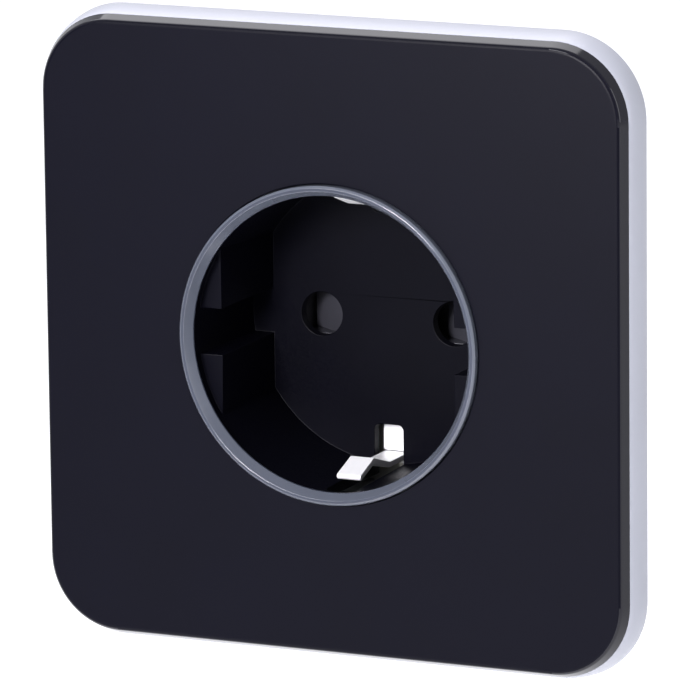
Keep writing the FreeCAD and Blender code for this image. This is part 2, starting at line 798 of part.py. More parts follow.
def claw_screw_left():
    return half_turn(claw_screw_right())


pieces = [
    front_plate, rear_frame, light_ring, socket_well, shutter_cage, shutter, shutter_spring, led_board, leds,
    mounting_plate, plate_screws, core_housing, rear_cover, rear_cover_screws, contact_carrier,
    live_contact, neutral_contact, earth_bridge, earth_clip_top, earth_clip_bottom,
    main_board, relay, film_capacitor, bulk_capacitor, power_transformer, varistor, fuse,
    radio_board, radio_shield, current_shunt, pin_header, contact_pins, ribbon_cable,
    terminal_live, terminal_earth, terminal_neutral,
    terminal_screw_live, terminal_screw_earth, terminal_screw_neutral,
    claw_left, claw_right, claw_screw_left, claw_screw_right]

os.makedirs("parts", exist_ok=True)
for piece in pieces:
    shape = piece()
    name = piece.__name__
    shape.exportStep(os.path.join("parts", name + ".step"))
    bounds = shape.BoundBox
    print("%-24s %d solid(s) %8.1f mm3  x %.1f %.1f  y %.1f %.1f  z %.1f %.1f" % (
        name, len(shape.Solids), shape.Volume, bounds.XMin, bounds.XMax, bounds.YMin, bounds.YMax,
        bounds.ZMin, bounds.ZMax))
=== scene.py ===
import math
import bmesh
import bpy
from mathutils import Matrix, Vector


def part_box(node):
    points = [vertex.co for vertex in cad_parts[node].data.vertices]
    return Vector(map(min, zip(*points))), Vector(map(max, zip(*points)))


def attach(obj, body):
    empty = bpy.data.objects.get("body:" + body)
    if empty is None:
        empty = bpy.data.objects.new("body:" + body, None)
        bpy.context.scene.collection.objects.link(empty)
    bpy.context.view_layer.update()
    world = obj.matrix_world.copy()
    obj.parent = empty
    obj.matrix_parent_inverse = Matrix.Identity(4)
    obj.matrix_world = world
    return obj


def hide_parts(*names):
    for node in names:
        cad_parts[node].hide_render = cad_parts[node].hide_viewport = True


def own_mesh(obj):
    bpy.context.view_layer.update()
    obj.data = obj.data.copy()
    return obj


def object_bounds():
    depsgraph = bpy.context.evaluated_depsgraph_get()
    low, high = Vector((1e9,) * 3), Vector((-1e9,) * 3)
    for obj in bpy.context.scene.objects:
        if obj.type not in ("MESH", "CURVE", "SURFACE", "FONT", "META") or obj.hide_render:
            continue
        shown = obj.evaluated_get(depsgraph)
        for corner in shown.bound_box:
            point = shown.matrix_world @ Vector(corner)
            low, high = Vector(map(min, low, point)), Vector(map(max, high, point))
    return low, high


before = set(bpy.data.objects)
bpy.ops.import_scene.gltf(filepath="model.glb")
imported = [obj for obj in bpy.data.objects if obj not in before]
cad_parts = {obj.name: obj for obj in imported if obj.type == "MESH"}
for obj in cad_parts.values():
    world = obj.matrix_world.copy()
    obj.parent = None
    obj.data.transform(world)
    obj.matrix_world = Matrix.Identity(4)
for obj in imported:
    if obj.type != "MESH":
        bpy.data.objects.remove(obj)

for startName in ("Cube", "Light", "Camera"):
    if startName in bpy.data.objects:
        bpy.data.objects.remove(bpy.data.objects[startName])
cadLow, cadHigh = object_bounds()
scene = bpy.context.scene
mm = 0.001
print("frame loaded:", len(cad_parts), "nodes")


# Finishes: all read Object coordinates, in metres; a look takes what it leaves out from here
plainLook = {"fade": 0.86, "blotch": 160, "grain": 2600, "bump": 0.3, "depth": 0.02, "stretch": (1, 1, 1)}
noiseSpan = (0.3, 0.7)  # nearly all of the noise falls in here
toneSpan = (0.35, 0.65)


def noiseIn(tree, scale, detail, stretch):
    place = tree.nodes.new("ShaderNodeTexCoord")
    mapping = tree.nodes.new("ShaderNodeMapping")
    mapping.inputs["Scale"].default_value = stretch
    noise = tree.nodes.new("ShaderNodeTexNoise")
    noise.inputs["Scale"].default_value = scale
    noise.inputs["Detail"].default_value = detail
    tree.links.new(place.outputs["Object"], mapping.inputs["Vector"])
    tree.links.new(mapping.outputs["Vector"], noise.inputs["Vector"])
    return noise.outputs["Fac"]


def spread(tree, value, low, high):
    span = tree.nodes.new("ShaderNodeMapRange")
    span.inputs["From Min"].default_value = noiseSpan[0]
    span.inputs["From Max"].default_value = noiseSpan[1]
    span.inputs["To Min"].default_value = low
    span.inputs["To Max"].default_value = high
    tree.links.new(value, span.inputs["Value"])
    return span.outputs["Result"]


def tones(tree, value, colourA, colourB):
    ramp = tree.nodes.new("ShaderNodeValToRGB")
    for element, position, colour in zip(ramp.color_ramp.elements, toneSpan, (colourA, colourB)):
        element.position = position
        element.color = (*colour, 1)
    tree.links.new(value, ramp.inputs["Fac"])
    return ramp.outputs["Color"]


def finish(name, ownLook):
    look = {**plainLook, **ownLook}
    material = bpy.data.materials.new(name)
    material.use_nodes = True
    tree = material.node_tree
    shader = tree.nodes["Principled BSDF"]
    colour = look["colour"]
    other = look.get("colourB", [channel * look["fade"] for channel in colour])
    blotch = noiseIn(tree, look["blotch"], 3.0, look["stretch"])
    tree.links.new(tones(tree, blotch, other, colour), shader.inputs["Base Color"])
    grain = noiseIn(tree, look["grain"], 5.0, look["stretch"])
    tree.links.new(spread(tree, grain, *look["rough"]), shader.inputs["Roughness"])
    bump = tree.nodes.new("ShaderNodeBump")
    bump.inputs["Strength"].default_value = look["bump"]
    bump.inputs["Distance"].default_value = look["depth"] * mm
    tree.links.new(grain, bump.inputs["Height"])
    tree.links.new(bump.outputs["Normal"], shader.inputs["Normal"])
    for socket, key in (("Metallic", "metal"), ("Coat Weight", "coat"), ("Coat Roughness", "coatRough"),
                        ("IOR", "ior"), ("Transmission Weight", "clear"), ("Subsurface Weight", "milk"),
                        ("Specular IOR Level", "gloss"), ("Subsurface Scale", "milkDepth")):
        if key in look:
            shader.inputs[socket].default_value = look[key]
    if "glow" in look:
        shader.inputs["Emission Color"].default_value = (*look["glow"], 1)
        shader.inputs["Emission Strength"].default_value = look["glowPower"]
    return material


finishes = {name: finish(name, look) for name, look in {
    "plateBlack": {"colour": (0.0010, 0.0010, 0.0044), "rough": (0.36, 0.44), "grain": 5200,
                   "bump": 0.22, "depth": 0.012, "blotch": 90, "fade": 0.9, "gloss": 0.10},
    "bandBlack": {"colour": (0.0030, 0.0029, 0.0070), "rough": (0.07, 0.12), "grain": 1800,
                  "bump": 0.03, "depth": 0.004, "blotch": 90, "fade": 0.9, "gloss": 0.38},
    "wellBlack": {"colour": (0.0013, 0.0013, 0.0036), "rough": (0.34, 0.50), "grain": 4200,
                  "bump": 0.35, "depth": 0.02, "blotch": 140, "gloss": 0.06},
    "ringSmoke": {"colour": (0.115, 0.128, 0.162), "rough": (0.16, 0.24), "grain": 900, "bump": 0.05,
                  "coat": 0.4, "coatRough": 0.12, "clear": 0.25, "ior": 1.49, "blotch": 60},
    # painted shade: a darker copy of the ring's smoke, for its flat crown and inner lip
    "ringSmokePaintedShade": {"colour": (0.045, 0.052, 0.076), "rough": (0.14, 0.22), "grain": 900, "bump": 0.05,
                 "coat": 0.2, "coatRough": 0.1, "clear": 0.2, "ior": 1.49, "blotch": 60},
    "frameMilk": {"colour": (0.37, 0.38, 0.43), "rough": (0.32, 0.40), "grain": 1500, "bump": 0.03,
                  "blotch": 50, "fade": 0.97, "gloss": 0.4},
    "shutterGrey": {"colour": (0.030, 0.030, 0.037), "rough": (0.28, 0.40), "grain": 3800, "bump": 0.2},
    "cageBlack": {"colour": (0.014, 0.014, 0.017), "rough": (0.42, 0.55), "grain": 3600, "bump": 0.35},
    "springWire": {"colour": (0.52, 0.53, 0.55), "rough": (0.22, 0.38), "metal": 1.0, "grain": 1900,
                   "stretch": (1, 3, 3), "bump": 0.15},
    "zincSheet": {"colour": (0.62, 0.64, 0.67), "colourB": (0.50, 0.52, 0.53), "rough": (0.26, 0.46),
                  "metal": 1.0, "grain": 700, "stretch": (1, 1, 9), "bump": 0.16, "blotch": 260},
    "screwSteel": {"colour": (0.60, 0.60, 0.58), "colourB": (0.46, 0.45, 0.41), "rough": (0.22, 0.40),
                   "metal": 1.0, "grain": 1600, "bump": 0.12, "blotch": 500},
    "housingGrey": {"colour": (0.42, 0.43, 0.44), "rough": (0.40, 0.56), "grain": 2400, "bump": 0.4,
                    "depth": 0.03, "blotch": 120, "fade": 0.92},
    "carrierWhite": {"colour": (0.71, 0.70, 0.65), "rough": (0.42, 0.56), "grain": 2400, "bump": 0.35,
                     "blotch": 130, "fade": 0.93},
    "brassSheet": {"colour": (0.72, 0.50, 0.20), "colourB": (0.60, 0.38, 0.13), "rough": (0.20, 0.38),
                   "metal": 1.0, "grain": 900, "stretch": (6, 1, 6), "bump": 0.15, "blotch": 300},
    "nickelStrip": {"colour": (0.97, 0.97, 0.98), "colourB": (0.94, 0.94, 0.95), "rough": (0.36, 0.50),
                    "metal": 0.30, "grain": 900, "stretch": (8, 1, 1), "bump": 0.1, "blotch": 260},
    "boardGreen": {"colour": (0.020, 0.120, 0.055), "colourB": (0.012, 0.075, 0.035),
                   "rough": (0.20, 0.34), "grain": 1300, "bump": 0.25, "blotch": 420, "coat": 0.3},
    "boardWhite": {"colour": (0.74, 0.75, 0.74), "rough": (0.30, 0.42), "grain": 1300, "bump": 0.2,
                   "blotch": 300, "fade": 0.94},
    "ledCap": {"colour": (0.83, 0.78, 0.45), "rough": (0.24, 0.34), "grain": 3000, "bump": 0.1,
               "milk": 0.2, "milkDepth": 0.001},
    "relayBlue": {"colour": (0.020, 0.075, 0.30), "rough": (0.24, 0.36), "grain": 2600, "bump": 0.2},
    "filmYellow": {"colour": (0.72, 0.46, 0.04), "rough": (0.26, 0.38), "grain": 2200, "bump": 0.25},
    "sleeveDark": {"colour": (0.014, 0.019, 0.036), "rough": (0.18, 0.30), "grain": 1500, "bump": 0.15},
    "aluminium": {"colour": (0.74, 0.75, 0.76), "rough": (0.24, 0.40), "metal": 1.0, "grain": 1500,
                  "bump": 0.12},
    "ferriteDark": {"colour": (0.045, 0.045, 0.050), "rough": (0.46, 0.66), "grain": 1700, "bump": 0.6,
                    "depth": 0.05},
    "tapeYellow": {"colour": (0.66, 0.47, 0.06), "rough": (0.22, 0.36), "grain": 1500, "bump": 0.2,
                   "stretch": (1, 1, 5)},
    "epoxyBlue": {"colour": (0.020, 0.095, 0.34), "rough": (0.22, 0.36), "grain": 800, "bump": 0.5,
                  "depth": 0.06},
    "fuseCeramic": {"colour": (0.72, 0.69, 0.58), "rough": (0.20, 0.32), "grain": 1500, "bump": 0.2},
    "tinnedCan": {"colour": (0.66, 0.67, 0.68), "rough": (0.24, 0.40), "metal": 1.0, "grain": 800,
                  "stretch": (1, 7, 1), "bump": 0.15},
    "shuntCopper": {"colour": (0.60, 0.30, 0.17), "colourB": (0.48, 0.22, 0.12), "rough": (0.24, 0.40),
                    "metal": 1.0, "grain": 900, "bump": 0.2, "blotch": 400},
    "headerBlack": {"colour": (0.016, 0.016, 0.017), "rough": (0.38, 0.52), "grain": 3000, "bump": 0.3},
    "goldPins": {"colour": (0.86, 0.60, 0.20), "rough": (0.14, 0.26), "metal": 1.0, "grain": 2600,
                 "bump": 0.08},
    "filmAmber": {"colour": (0.42, 0.17, 0.02), "colourB": (0.60, 0.30, 0.06), "rough": (0.18, 0.28),
                  "grain": 900, "stretch": (7, 1, 1), "bump": 0.2, "blotch": 900},
}.items()}
print("finishes made:", len(finishes))


# Writes a form into an object that rides on its body and stands for its CAD nodes
def addPiece(name, form, body, finishName, nodes=(), sharp=32, recalc=False):
    if recalc:
        bmesh.ops.recalc_face_normals(form, faces=form.faces)
    mesh = bpy.data.meshes.new(name)
    form.to_mesh(mesh)
    form.free()
    if "custom_normal" in mesh.attributes:  # a copied node's own normals no longer fit its faces
        mesh.attributes.remove(mesh.attributes["custom_normal"])
    mesh.shade_smooth()
    mesh.set_sharp_from_angle(angle=math.radians(sharp))
    mesh.materials.clear()
    mesh.materials.append(finishes[finishName])
    piece = bpy.data.objects.new(name, mesh)
    scene.collection.objects.link(piece)
    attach(piece, body)
    if nodes:
        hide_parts(*nodes)
    return piece


# Keeps flat faces flat beside soft edges
def evenNormals(piece):
    even = piece.modifiers.new("evenNormals", "WEIGHTED_NORMAL")
    even.keep_sharp = True
    return piece


# Rounds the edges that turn by more than an angle, and that a test picks
def roundEdges(form, radius, segments, sharper, where=None):
    edges = [edge for edge in form.edges if len(edge.link_faces) == 2
             and edge.calc_face_angle(0) > math.radians(sharper) and (where is None or where(edge))]
    bmesh.ops.bevel(form, geom=edges, offset=radius * mm, offset_type="OFFSET", segments=segments,
                    profile=0.5, affect="EDGES", material=-1, clamp_overlap=False)


# Softened copies: steps and least angle of an edge, weld distance in metres, angle that counts as flat
softening = {"segments": 2, "sharper": 35, "weld": 1e-6, "flat": 0.7}


# A merged copy of a CAD node's mesh, ready to have its edges softened
def copyOf(node):
    form = bmesh.new()
    form.from_mesh(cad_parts[node].data)
    bmesh.ops.remove_doubles(form, verts=form.verts, dist=softening["weld"])
    bmesh.ops.dissolve_limit(form, angle_limit=math.radians(softening["flat"]), verts=form.verts,
                             edges=form.edges)
    return form


# Splits many-sided faces and drops the slivers, so that the mesh has no stray faces
def splitWide(form):
    wide = [face for face in form.faces if len(face.verts) > 4]
    bmesh.ops.triangulate(form, faces=wide, quad_method="BEAUTY", ngon_method="BEAUTY")
    bmesh.ops.dissolve_degenerate(form, dist=softening["weld"], edges=form.edges)


def softened(name, node, body, slotName, finishName, radius):
    form = copyOf(node)
    roundEdges(form, radius, softening["segments"], softening["sharper"])
    splitWide(form)
    return evenNormals(addPiece(name, form, body, finishName, [node]))


# Closed loop of a rounded square, half wide each way, at depth y
def squareLoop(form, half, corner, y, cornerSteps):
    upright = Matrix.Translation((0, y * mm, 0)) @ Matrix.Rotation(math.pi / 2, 4, "X")
    made = bmesh.ops.create_grid(form, x_segments=1, y_segments=1, size=half * mm, matrix=upright)
    made = bmesh.ops.bevel(form, geom=made["verts"], offset=corner * mm, offset_type="OFFSET",
                           segments=cornerSteps, profile=0.5, affect="VERTICES", material=-1,
                           clamp_overlap=False)
    corners = {vert for face in made["faces"] for vert in face.verts}
    corners |= set(made["verts"])
    face = next(iter(corners)).link_faces[0]
    edges = list(face.edges)
    bmesh.ops.delete(form, geom=[face], context="FACES_ONLY")
    return edges


def roundLoop(form, radius, y, steps):
    upright = Matrix.Translation((0, y * mm, 0)) @ Matrix.Rotation(math.pi / 2, 4, "X")
    made = bmesh.ops.create_circle(form, cap_ends=False, segments=steps, radius=radius * mm,
                                   matrix=upright)
    return list({edge for vert in made["verts"] for edge in vert.link_edges})


# Joins loops in order, and the last to the first, into one closed wall
def bridgeRound(form, loops):
    for one, two in zip(loops, loops[1:] + loops[:1]):
        if abs(one[0].verts[0].co.y - two[0].verts[0].co.y) < 1e-7:  # both loops lie in one plane
            bmesh.ops.triangle_fill(form, edges=one + two, use_beauty=True, normal=(0, 1, 0))
        else:
            bmesh.ops.bridge_loops(form, edges=one + two)


# Turns an (r, along) outline about an axis through a point
def turnedForm(outline, centre=(0, 0, 0), axis="Y", steps=96, closed=True, form=None):
    form = form or bmesh.new()
    axes = {"X": ((1, 0, 0), (0, 1, 0)), "Y": ((0, 1, 0), (1, 0, 0)), "Z": ((0, 0, 1), (1, 0, 0))}
    along, out = (Vector(direction) for direction in axes[axis])
    middle = Vector(centre) * mm
    points = [form.verts.new(middle + out * (r * mm) + along * (level * mm)) for r, level in outline]
    pairs = list(zip(points, points[1:])) + ([(points[-1], points[0])] if closed else [])
    lines = [form.edges.new(pair) for pair in pairs]
    bmesh.ops.spin(form, geom=points + lines, cent=middle, axis=along, angle=2 * math.pi, steps=steps,
                   use_merge=True)
    bmesh.ops.remove_doubles(form, verts=form.verts, dist=1e-7)
    bmesh.ops.recalc_face_normals(form, faces=form.faces)
    return form


# Front plate: matte face, rounded rim, sides that widen to the wall, rib behind
plateShape = {"cornerSteps": 31, "loopSteps": 128, "face": (40.6, 9.5), "skirt": (41.3, 10.2),
              "hole": 21.15, "ribOuter": (36.75, 4.1), "ribInner": (35.65, 3.0), "rim": 0.45,
              "rimSteps": 8, "holeRim": 0.12, "holeRimSteps": 3, "rimAngle": 40, "wayOut": 30,
              "polished": 0.92}


def makePlate():
    faceY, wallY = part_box("front_plate")[0].y / mm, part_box("front_plate")[1].y / mm
    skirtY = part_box("rear_frame")[0].y / mm
    steps = plateShape["cornerSteps"]
    form = bmesh.new()
    levels = [("face", faceY), ("skirt", skirtY), ("ribOuter", skirtY), ("ribOuter", wallY),
              ("ribInner", wallY), ("ribInner", skirtY)]
    loops = [squareLoop(form, *plateShape[key], y, steps) for key, y in levels]
    loops += [roundLoop(form, plateShape["hole"], y, plateShape["loopSteps"]) for y in (skirtY, faceY)]
    bridgeRound(form, loops)
    bmesh.ops.recalc_face_normals(form, faces=form.faces)

    def atFace(edge):
        return all(abs(vert.co.y - faceY * mm) < 1e-6 for vert in edge.verts)

    def outside(edge):
        return all(math.hypot(vert.co.x, vert.co.z) > plateShape["wayOut"] * mm for vert in edge.verts)
    roundEdges(form, plateShape["rim"], plateShape["rimSteps"], plateShape["rimAngle"],
               lambda edge: atFace(edge) and outside(edge))
    roundEdges(form, plateShape["holeRim"], plateShape["holeRimSteps"], plateShape["rimAngle"],
               lambda edge: atFace(edge) and not outside(edge))
    plate = addPiece("frontPlate", form, "cover", "plateBlack", ["front_plate"])
    plate.data.materials.append(finishes["bandBlack"])
    for face in plate.data.polygons:  # the sides are polished, the face is matte
        sideways = abs(face.normal.y) < plateShape["polished"]
        if sideways and Vector((face.center.x, 0, face.center.z)).length > plateShape["face"][0] * mm:
            face.material_index = 1
    return evenNormals(plate)


# Translucent frame: its sides swell softly from the plate to the wall
frameShape = {"cornerSteps": 31, "window": (36.95, 4.1), "edge": 0.2, "edgeSteps": 3, "edgeAngle": 50,
              "sides": [(41.30, 10.20, -4.0), (41.62, 10.52, -3.2), (41.88, 10.78, -2.3),
                        (42.08, 10.98, -1.3), (42.20, 11.10, -0.25), (42.12, 11.02, 0.0)]}


def makeFrame():
    frontY, wallY = (corner.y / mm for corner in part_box("rear_frame"))
    steps = frameShape["cornerSteps"]
    form = bmesh.new()
    loops = [squareLoop(form, half, corner, y, steps) for half, corner, y in frameShape["sides"]]
    loops += [squareLoop(form, *frameShape["window"], y, steps) for y in (wallY, frontY)]
    bridgeRound(form, loops)
    bmesh.ops.recalc_face_normals(form, faces=form.faces)
    roundEdges(form, frameShape["edge"], frameShape["edgeSteps"], frameShape["edgeAngle"])
    return evenNormals(addPiece("translucentFrame", form, "cover", "frameMilk",
                                ["rear_frame"]))


# Light ring: a crown, an outer chamfer and a long slope down to its inner lip
ringShape = {"outline": [(20.7, -6.5), (21.0, -6.2), (21.0, -3.9), (24.2, -3.9), (24.2, -2.9),
                         (20.5, -2.9), (20.5, -4.85), (19.5, -4.85), (19.5, -5.1), (20.3, -6.5)],
             "steps": 192, "edge": 0.07, "edgeSteps": 3, "edgeAngle": 25, "lipR": 19.62, "crown": -0.95}


def makeRing():
    form = turnedForm(ringShape["outline"], steps=ringShape["steps"])
    roundEdges(form, ringShape["edge"], ringShape["edgeSteps"], ringShape["edgeAngle"])
    ring = addPiece("lightRing", form, "cover", "ringSmoke", ["light_ring"])
    ring.data.materials.append(finishes["ringSmokePaintedShade"])
    for face in ring.data.polygons:  # painted shade: the flat crown and the inner lip take a darker copy of the smoke than the slope
        onLip = math.hypot(face.center.x, face.center.z) < ringShape["lipR"] * mm
        if onLip or face.normal.y < ringShape["crown"]:
            face.material_index = 1
    return evenNormals(ring)


makePlate()
makeFrame()
makeRing()
print("plate, frame and ring made")

# Pieces whose CAD shape is right: only their moulded or stamped edges are softened
softPieces = [
    ("socketWell", "socket_well", "cover", "well_black", "wellBlack", 0.14),
    ("shutterCage", "shutter_cage", "cover", "cage_black", "cageBlack", 0.15),
    ("shutterSlide", "shutter", "shutter", "shutter_grey", "shutterGrey", 0.18),
    ("ledBoard", "led_board", "cover", "board_white", "boardWhite", 0.08),
    ("earthClipTop", "earth_clip_top", "earth_clip_top", "nickel", "nickelStrip", 0.1),
    ("earthClipBottom", "earth_clip_bottom", "earth_clip_bottom", "nickel", "nickelStrip", 0.1),
    ("earthBridge", "earth_bridge", "core", "nickel", "nickelStrip", 0.1),
    ("mountingPlate", "mounting_plate", "core", "zinc_steel", "zincSheet", 0.12),
    ("coreHousing", "core_housing", "core", "housing_grey", "housingGrey", 0.2),
    ("rearCover", "rear_cover", "core", "housing_grey", "housingGrey", 0.2),
    ("contactCarrier", "contact_carrier", "core", "carrier_white", "carrierWhite", 0.15),
    ("liveContact", "live_contact", "core", "brass", "brassSheet", 0.1),
    ("neutralContact", "neutral_contact", "core", "brass", "brassSheet", 0.1),
    ("terminalLive", "terminal_live", "core", "brass", "brassSheet", 0.2),
    ("terminalEarth", "terminal_earth", "core", "brass", "brassSheet", 0.2),
    ("terminalNeutral", "terminal_neutral", "core", "brass", "brassSheet", 0.2),
    ("clawLeft", "claw_left", "claw_left", "zinc_steel", "zincSheet", 0.12),
    ("clawRight", "claw_right", "claw_right", "zinc_steel", "zincSheet", 0.12),
    ("currentShunt", "current_shunt", "core", "copper_shunt", "shuntCopper", 0.1),
    ("pinHeader", "pin_header", "core", "header_black", "headerBlack", 0.1),
    ("mainBoard", "main_board", "core", "board_green", "boardGreen", 0.06),
    ("radioBoard", "radio_board", "core", "board_green", "boardGreen", 0.06),
]
for softPiece in softPieces:
    softened(*softPiece)
print("softened pieces made:", len(softPieces))


# Adds a block with softened edges to a form, from corner to corner
def addBlock(form, low, high, edge=0.0, segments=2):
    middle = [(one + two) / 2 * mm for one, two in zip(low, high)]
    span = [(two - one) * mm for one, two in zip(low, high)]
    place = Matrix.Translation(middle) @ Matrix.Diagonal((*span, 1))
    made = bmesh.ops.create_cube(form, size=1, matrix=place)
    if edge:
        edges = list({line for vert in made["verts"] for line in vert.link_edges})
        bmesh.ops.bevel(form, geom=edges, offset=edge * mm, offset_type="OFFSET", segments=segments,
                        profile=0.5, affect="EDGES", material=-1, clamp_overlap=False)
    return form


# Sinks a shallow panel into the largest face that looks one way
def sinkPanel(form, direction, margin, depth):
    form.normal_update()
    face = max((face for face in form.faces if face.normal.dot(Vector(direction)) > 0.99),
               key=lambda face: face.calc_area())
    bmesh.ops.inset_region(form, faces=[face], thickness=margin * mm, use_even_offset=True)
    bmesh.ops.inset_region(form, faces=[face], thickness=depth * mm, depth=-depth * mm,
                           use_even_offset=True)


# Cuts one closed form out of another
def carved(form, cutter):
    pair = []
    for name, source in (("whole", form), ("cutter", cutter)):
        mesh = bpy.data.meshes.new(name)
        source.to_mesh(mesh)
        source.free()
        pair.append(bpy.data.objects.new(name, mesh))
        scene.collection.objects.link(pair[-1])
    cut = pair[0].modifiers.new("cut", "BOOLEAN")
    cut.object = pair[1]
    cut.operation = "DIFFERENCE"
    cut.solver = "EXACT"
    done = bmesh.new()
    done.from_object(pair[0], bpy.context.evaluated_depsgraph_get())
    splitWide(done)
    for item in pair:
        mesh = item.data
        bpy.data.objects.remove(item)
        bpy.data.meshes.remove(mesh)
    return done


slack = 0.01  # of a test on where a face is, in millimetres


# Gives one more finish to the faces whose middle, in millimetres, passes a test
def otherFinish(piece, finishName, test):
    piece.data.materials.append(finishes[finishName])
    for face in piece.data.polygons:
        if test(face.center / mm):
            face.material_index = len(piece.data.materials) - 1
    return piece


# Outline of a threaded shank that ends in a small cone; crest and root are shares of the pitch
threadShape = {"crestEnd": 0.25, "root": 0.5, "rootEnd": 0.8, "spare": 0.6, "cone": 0.5, "coneR": 0.45}


def threadOutline(radius, start, end, pitch, depth):
    way = 1 if end > start else -1
    outline = []
    for turn in range(int((abs(end - start) - threadShape["spare"]) / pitch)):
        level = start + way * pitch * turn
        outline += [(radius, level), (radius, level + way * pitch * threadShape["crestEnd"]),
                    (radius - depth, level + way * pitch * threadShape["root"]),
                    (radius - depth, level + way * pitch * threadShape["rootEnd"])]
    coneStart = end - way * threadShape["cone"]
    return outline + [(radius - depth, coneStart), (radius * threadShape["coneR"], end), (0, end)]


# Countersunk screws with a cross recess, one in each corner
crossScrew = {"headR": 1.7, "shankR": 0.85, "lip": 0.12, "plain": 0.3, "pitch": 0.62, "thread": 0.17,
              "steps": 32, "crossLength": 0.95, "crossWidth": 0.21, "crossDepth": 0.62, "sharp": 28}


def crossScrews(name, node, headInFront):
    low, high = (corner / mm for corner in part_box(node))
    headR, shankR, lip = crossScrew["headR"], crossScrew["shankR"], crossScrew["lip"]
    headLevel, tipLevel = (low.y, high.y) if headInFront else (high.y, low.y)
    way = 1 if headInFront else -1
    neck = headLevel + way * (headR - shankR)
    outline = [(0, headLevel), (headR - lip, headLevel), (headR, headLevel + way * lip * 0.5),
               (shankR, neck)]
    outline += threadOutline(shankR, neck + way * crossScrew["plain"], tipLevel, crossScrew["pitch"],
                             crossScrew["thread"])
    farX, farZ = high.x - headR, high.z - headR
    places = [(sideX * farX, sideZ * farZ) for sideX, sideZ in ((1, 1), (-1, 1), (-1, -1), (1, -1))]
    form = bmesh.new()
    for x, z in places:
        turnedForm(outline, (x, 0, z), steps=crossScrew["steps"], closed=False, form=form)
    near, far = sorted((headLevel - way, headLevel + way * crossScrew["crossDepth"]))
    for reachX, reachZ in ((crossScrew["crossLength"], crossScrew["crossWidth"]),
                           (crossScrew["crossWidth"], crossScrew["crossLength"])):
        cutter = bmesh.new()
        for x, z in places:
            addBlock(cutter, (x - reachX, near, z - reachZ), (x + reachX, far, z + reachZ))
        form = carved(form, cutter)
    addPiece(name, form, "core", "screwSteel", [node], crossScrew["sharp"])


crossScrews("plateScrews", "plate_screws", True)
crossScrews("rearCoverScrews", "rear_cover_screws", False)

# Slotted screws of the claws and the terminals, each on its own turning body
slotScrew = {"lip": 0.18, "slotHalf": 0.4, "slotDepth": 0.7, "plain": 0.4, "pitch": 0.7, "thread": 0.2,
             "steps": 40, "sharp": 28}
clawScrew = {"headR": 2.3, "head": 1.2, "shankR": 1.2}
terminalScrew = {"headR": 2.2, "head": 1.4, "shankR": 1.4}


def slotScrewPiece(name, node, shape, axis):
    low, high = (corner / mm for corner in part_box(node))
    middle = (low + high) / 2
    headR, shankR, lip = shape["headR"], shape["shankR"], slotScrew["lip"]
    half, depth, reach = slotScrew["slotHalf"], slotScrew["slotDepth"], headR + 1
    if axis == "Y":
        top, tip, centre = low.y, high.y, (middle.x, 0, middle.z)
        corners = ((middle.x - reach, top - 1, middle.z - half),
                   (middle.x + reach, top + depth, middle.z + half))
    else:
        top, tip, centre = low.z, high.z, (middle.x, middle.y, 0)
        corners = ((middle.x - reach, middle.y - half, top - 1),
                   (middle.x + reach, middle.y + half, top + depth))
    seat = top + shape["head"]
    outline = [(0, top), (headR - lip, top), (headR, top + lip), (headR, seat), (shankR, seat)]
    outline += threadOutline(shankR, seat + slotScrew["plain"], tip, slotScrew["pitch"],
                             slotScrew["thread"])
    form = turnedForm(outline, centre, axis, slotScrew["steps"], closed=False)
    form = carved(form, addBlock(bmesh.new(), *corners))
    addPiece(name, form, node, "screwSteel", [node], slotScrew["sharp"])


slotScrewPiece("clawScrewLeft", "claw_screw_left", clawScrew, "Y")
slotScrewPiece("clawScrewRight", "claw_screw_right", clawScrew, "Y")
for place in ("Live", "Earth", "Neutral"):
    slotScrewPiece("terminalScrew" + place, "terminal_screw_" + place.lower(), terminalScrew, "Z")
print("screws made")

# Shutter spring: a coil of wire along X
springShape = {"wire": 0.17, "turns": 13, "wireSteps": 10, "turnSteps": 24, "sharp": 60, "keep": 0.52}


def makeSpring():
    low, high = (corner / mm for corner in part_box("shutter_spring"))
    middle = (low + high) / 2
    wire = springShape["wire"]
    coilR = (high.z - low.z) / 2 - wire
    steps = springShape["turns"] * springShape["turnSteps"]
    form = bmesh.new()
    start = Matrix.Translation(Vector((low.x + wire, middle.y, middle.z + coilR)) * mm)
    made = bmesh.ops.create_circle(form, cap_ends=False, segments=springShape["wireSteps"],
                                   radius=wire * mm, matrix=start @ Matrix.Rotation(math.pi / 2, 4, "X"))
    edges = list({edge for vert in made["verts"] for edge in vert.link_edges})
    bmesh.ops.spin(form, geom=made["verts"] + edges, cent=middle * mm, axis=(1, 0, 0),
                   dvec=((high.x - low.x - 2 * wire) / steps * mm, 0, 0),
                   angle=2 * math.pi * springShape["turns"], steps=steps)
    bmesh.ops.holes_fill(form, edges=[edge for edge in form.edges if edge.is_boundary], sides=0)
    piece = addPiece("shutterSpring", form, "cover", "springWire", ["shutter_spring"],
                     springShape["sharp"], recalc=True)
    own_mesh(piece)


makeSpring()

# Twelve light chips: a pale body with a sunk lens, all round the light board
ledShape = {"count": 12, "radius": 22.9, "size": (1.6, 0.8), "edge": 0.05, "rim": 0.14, "sunk": 0.07,
            "sharp": 40}


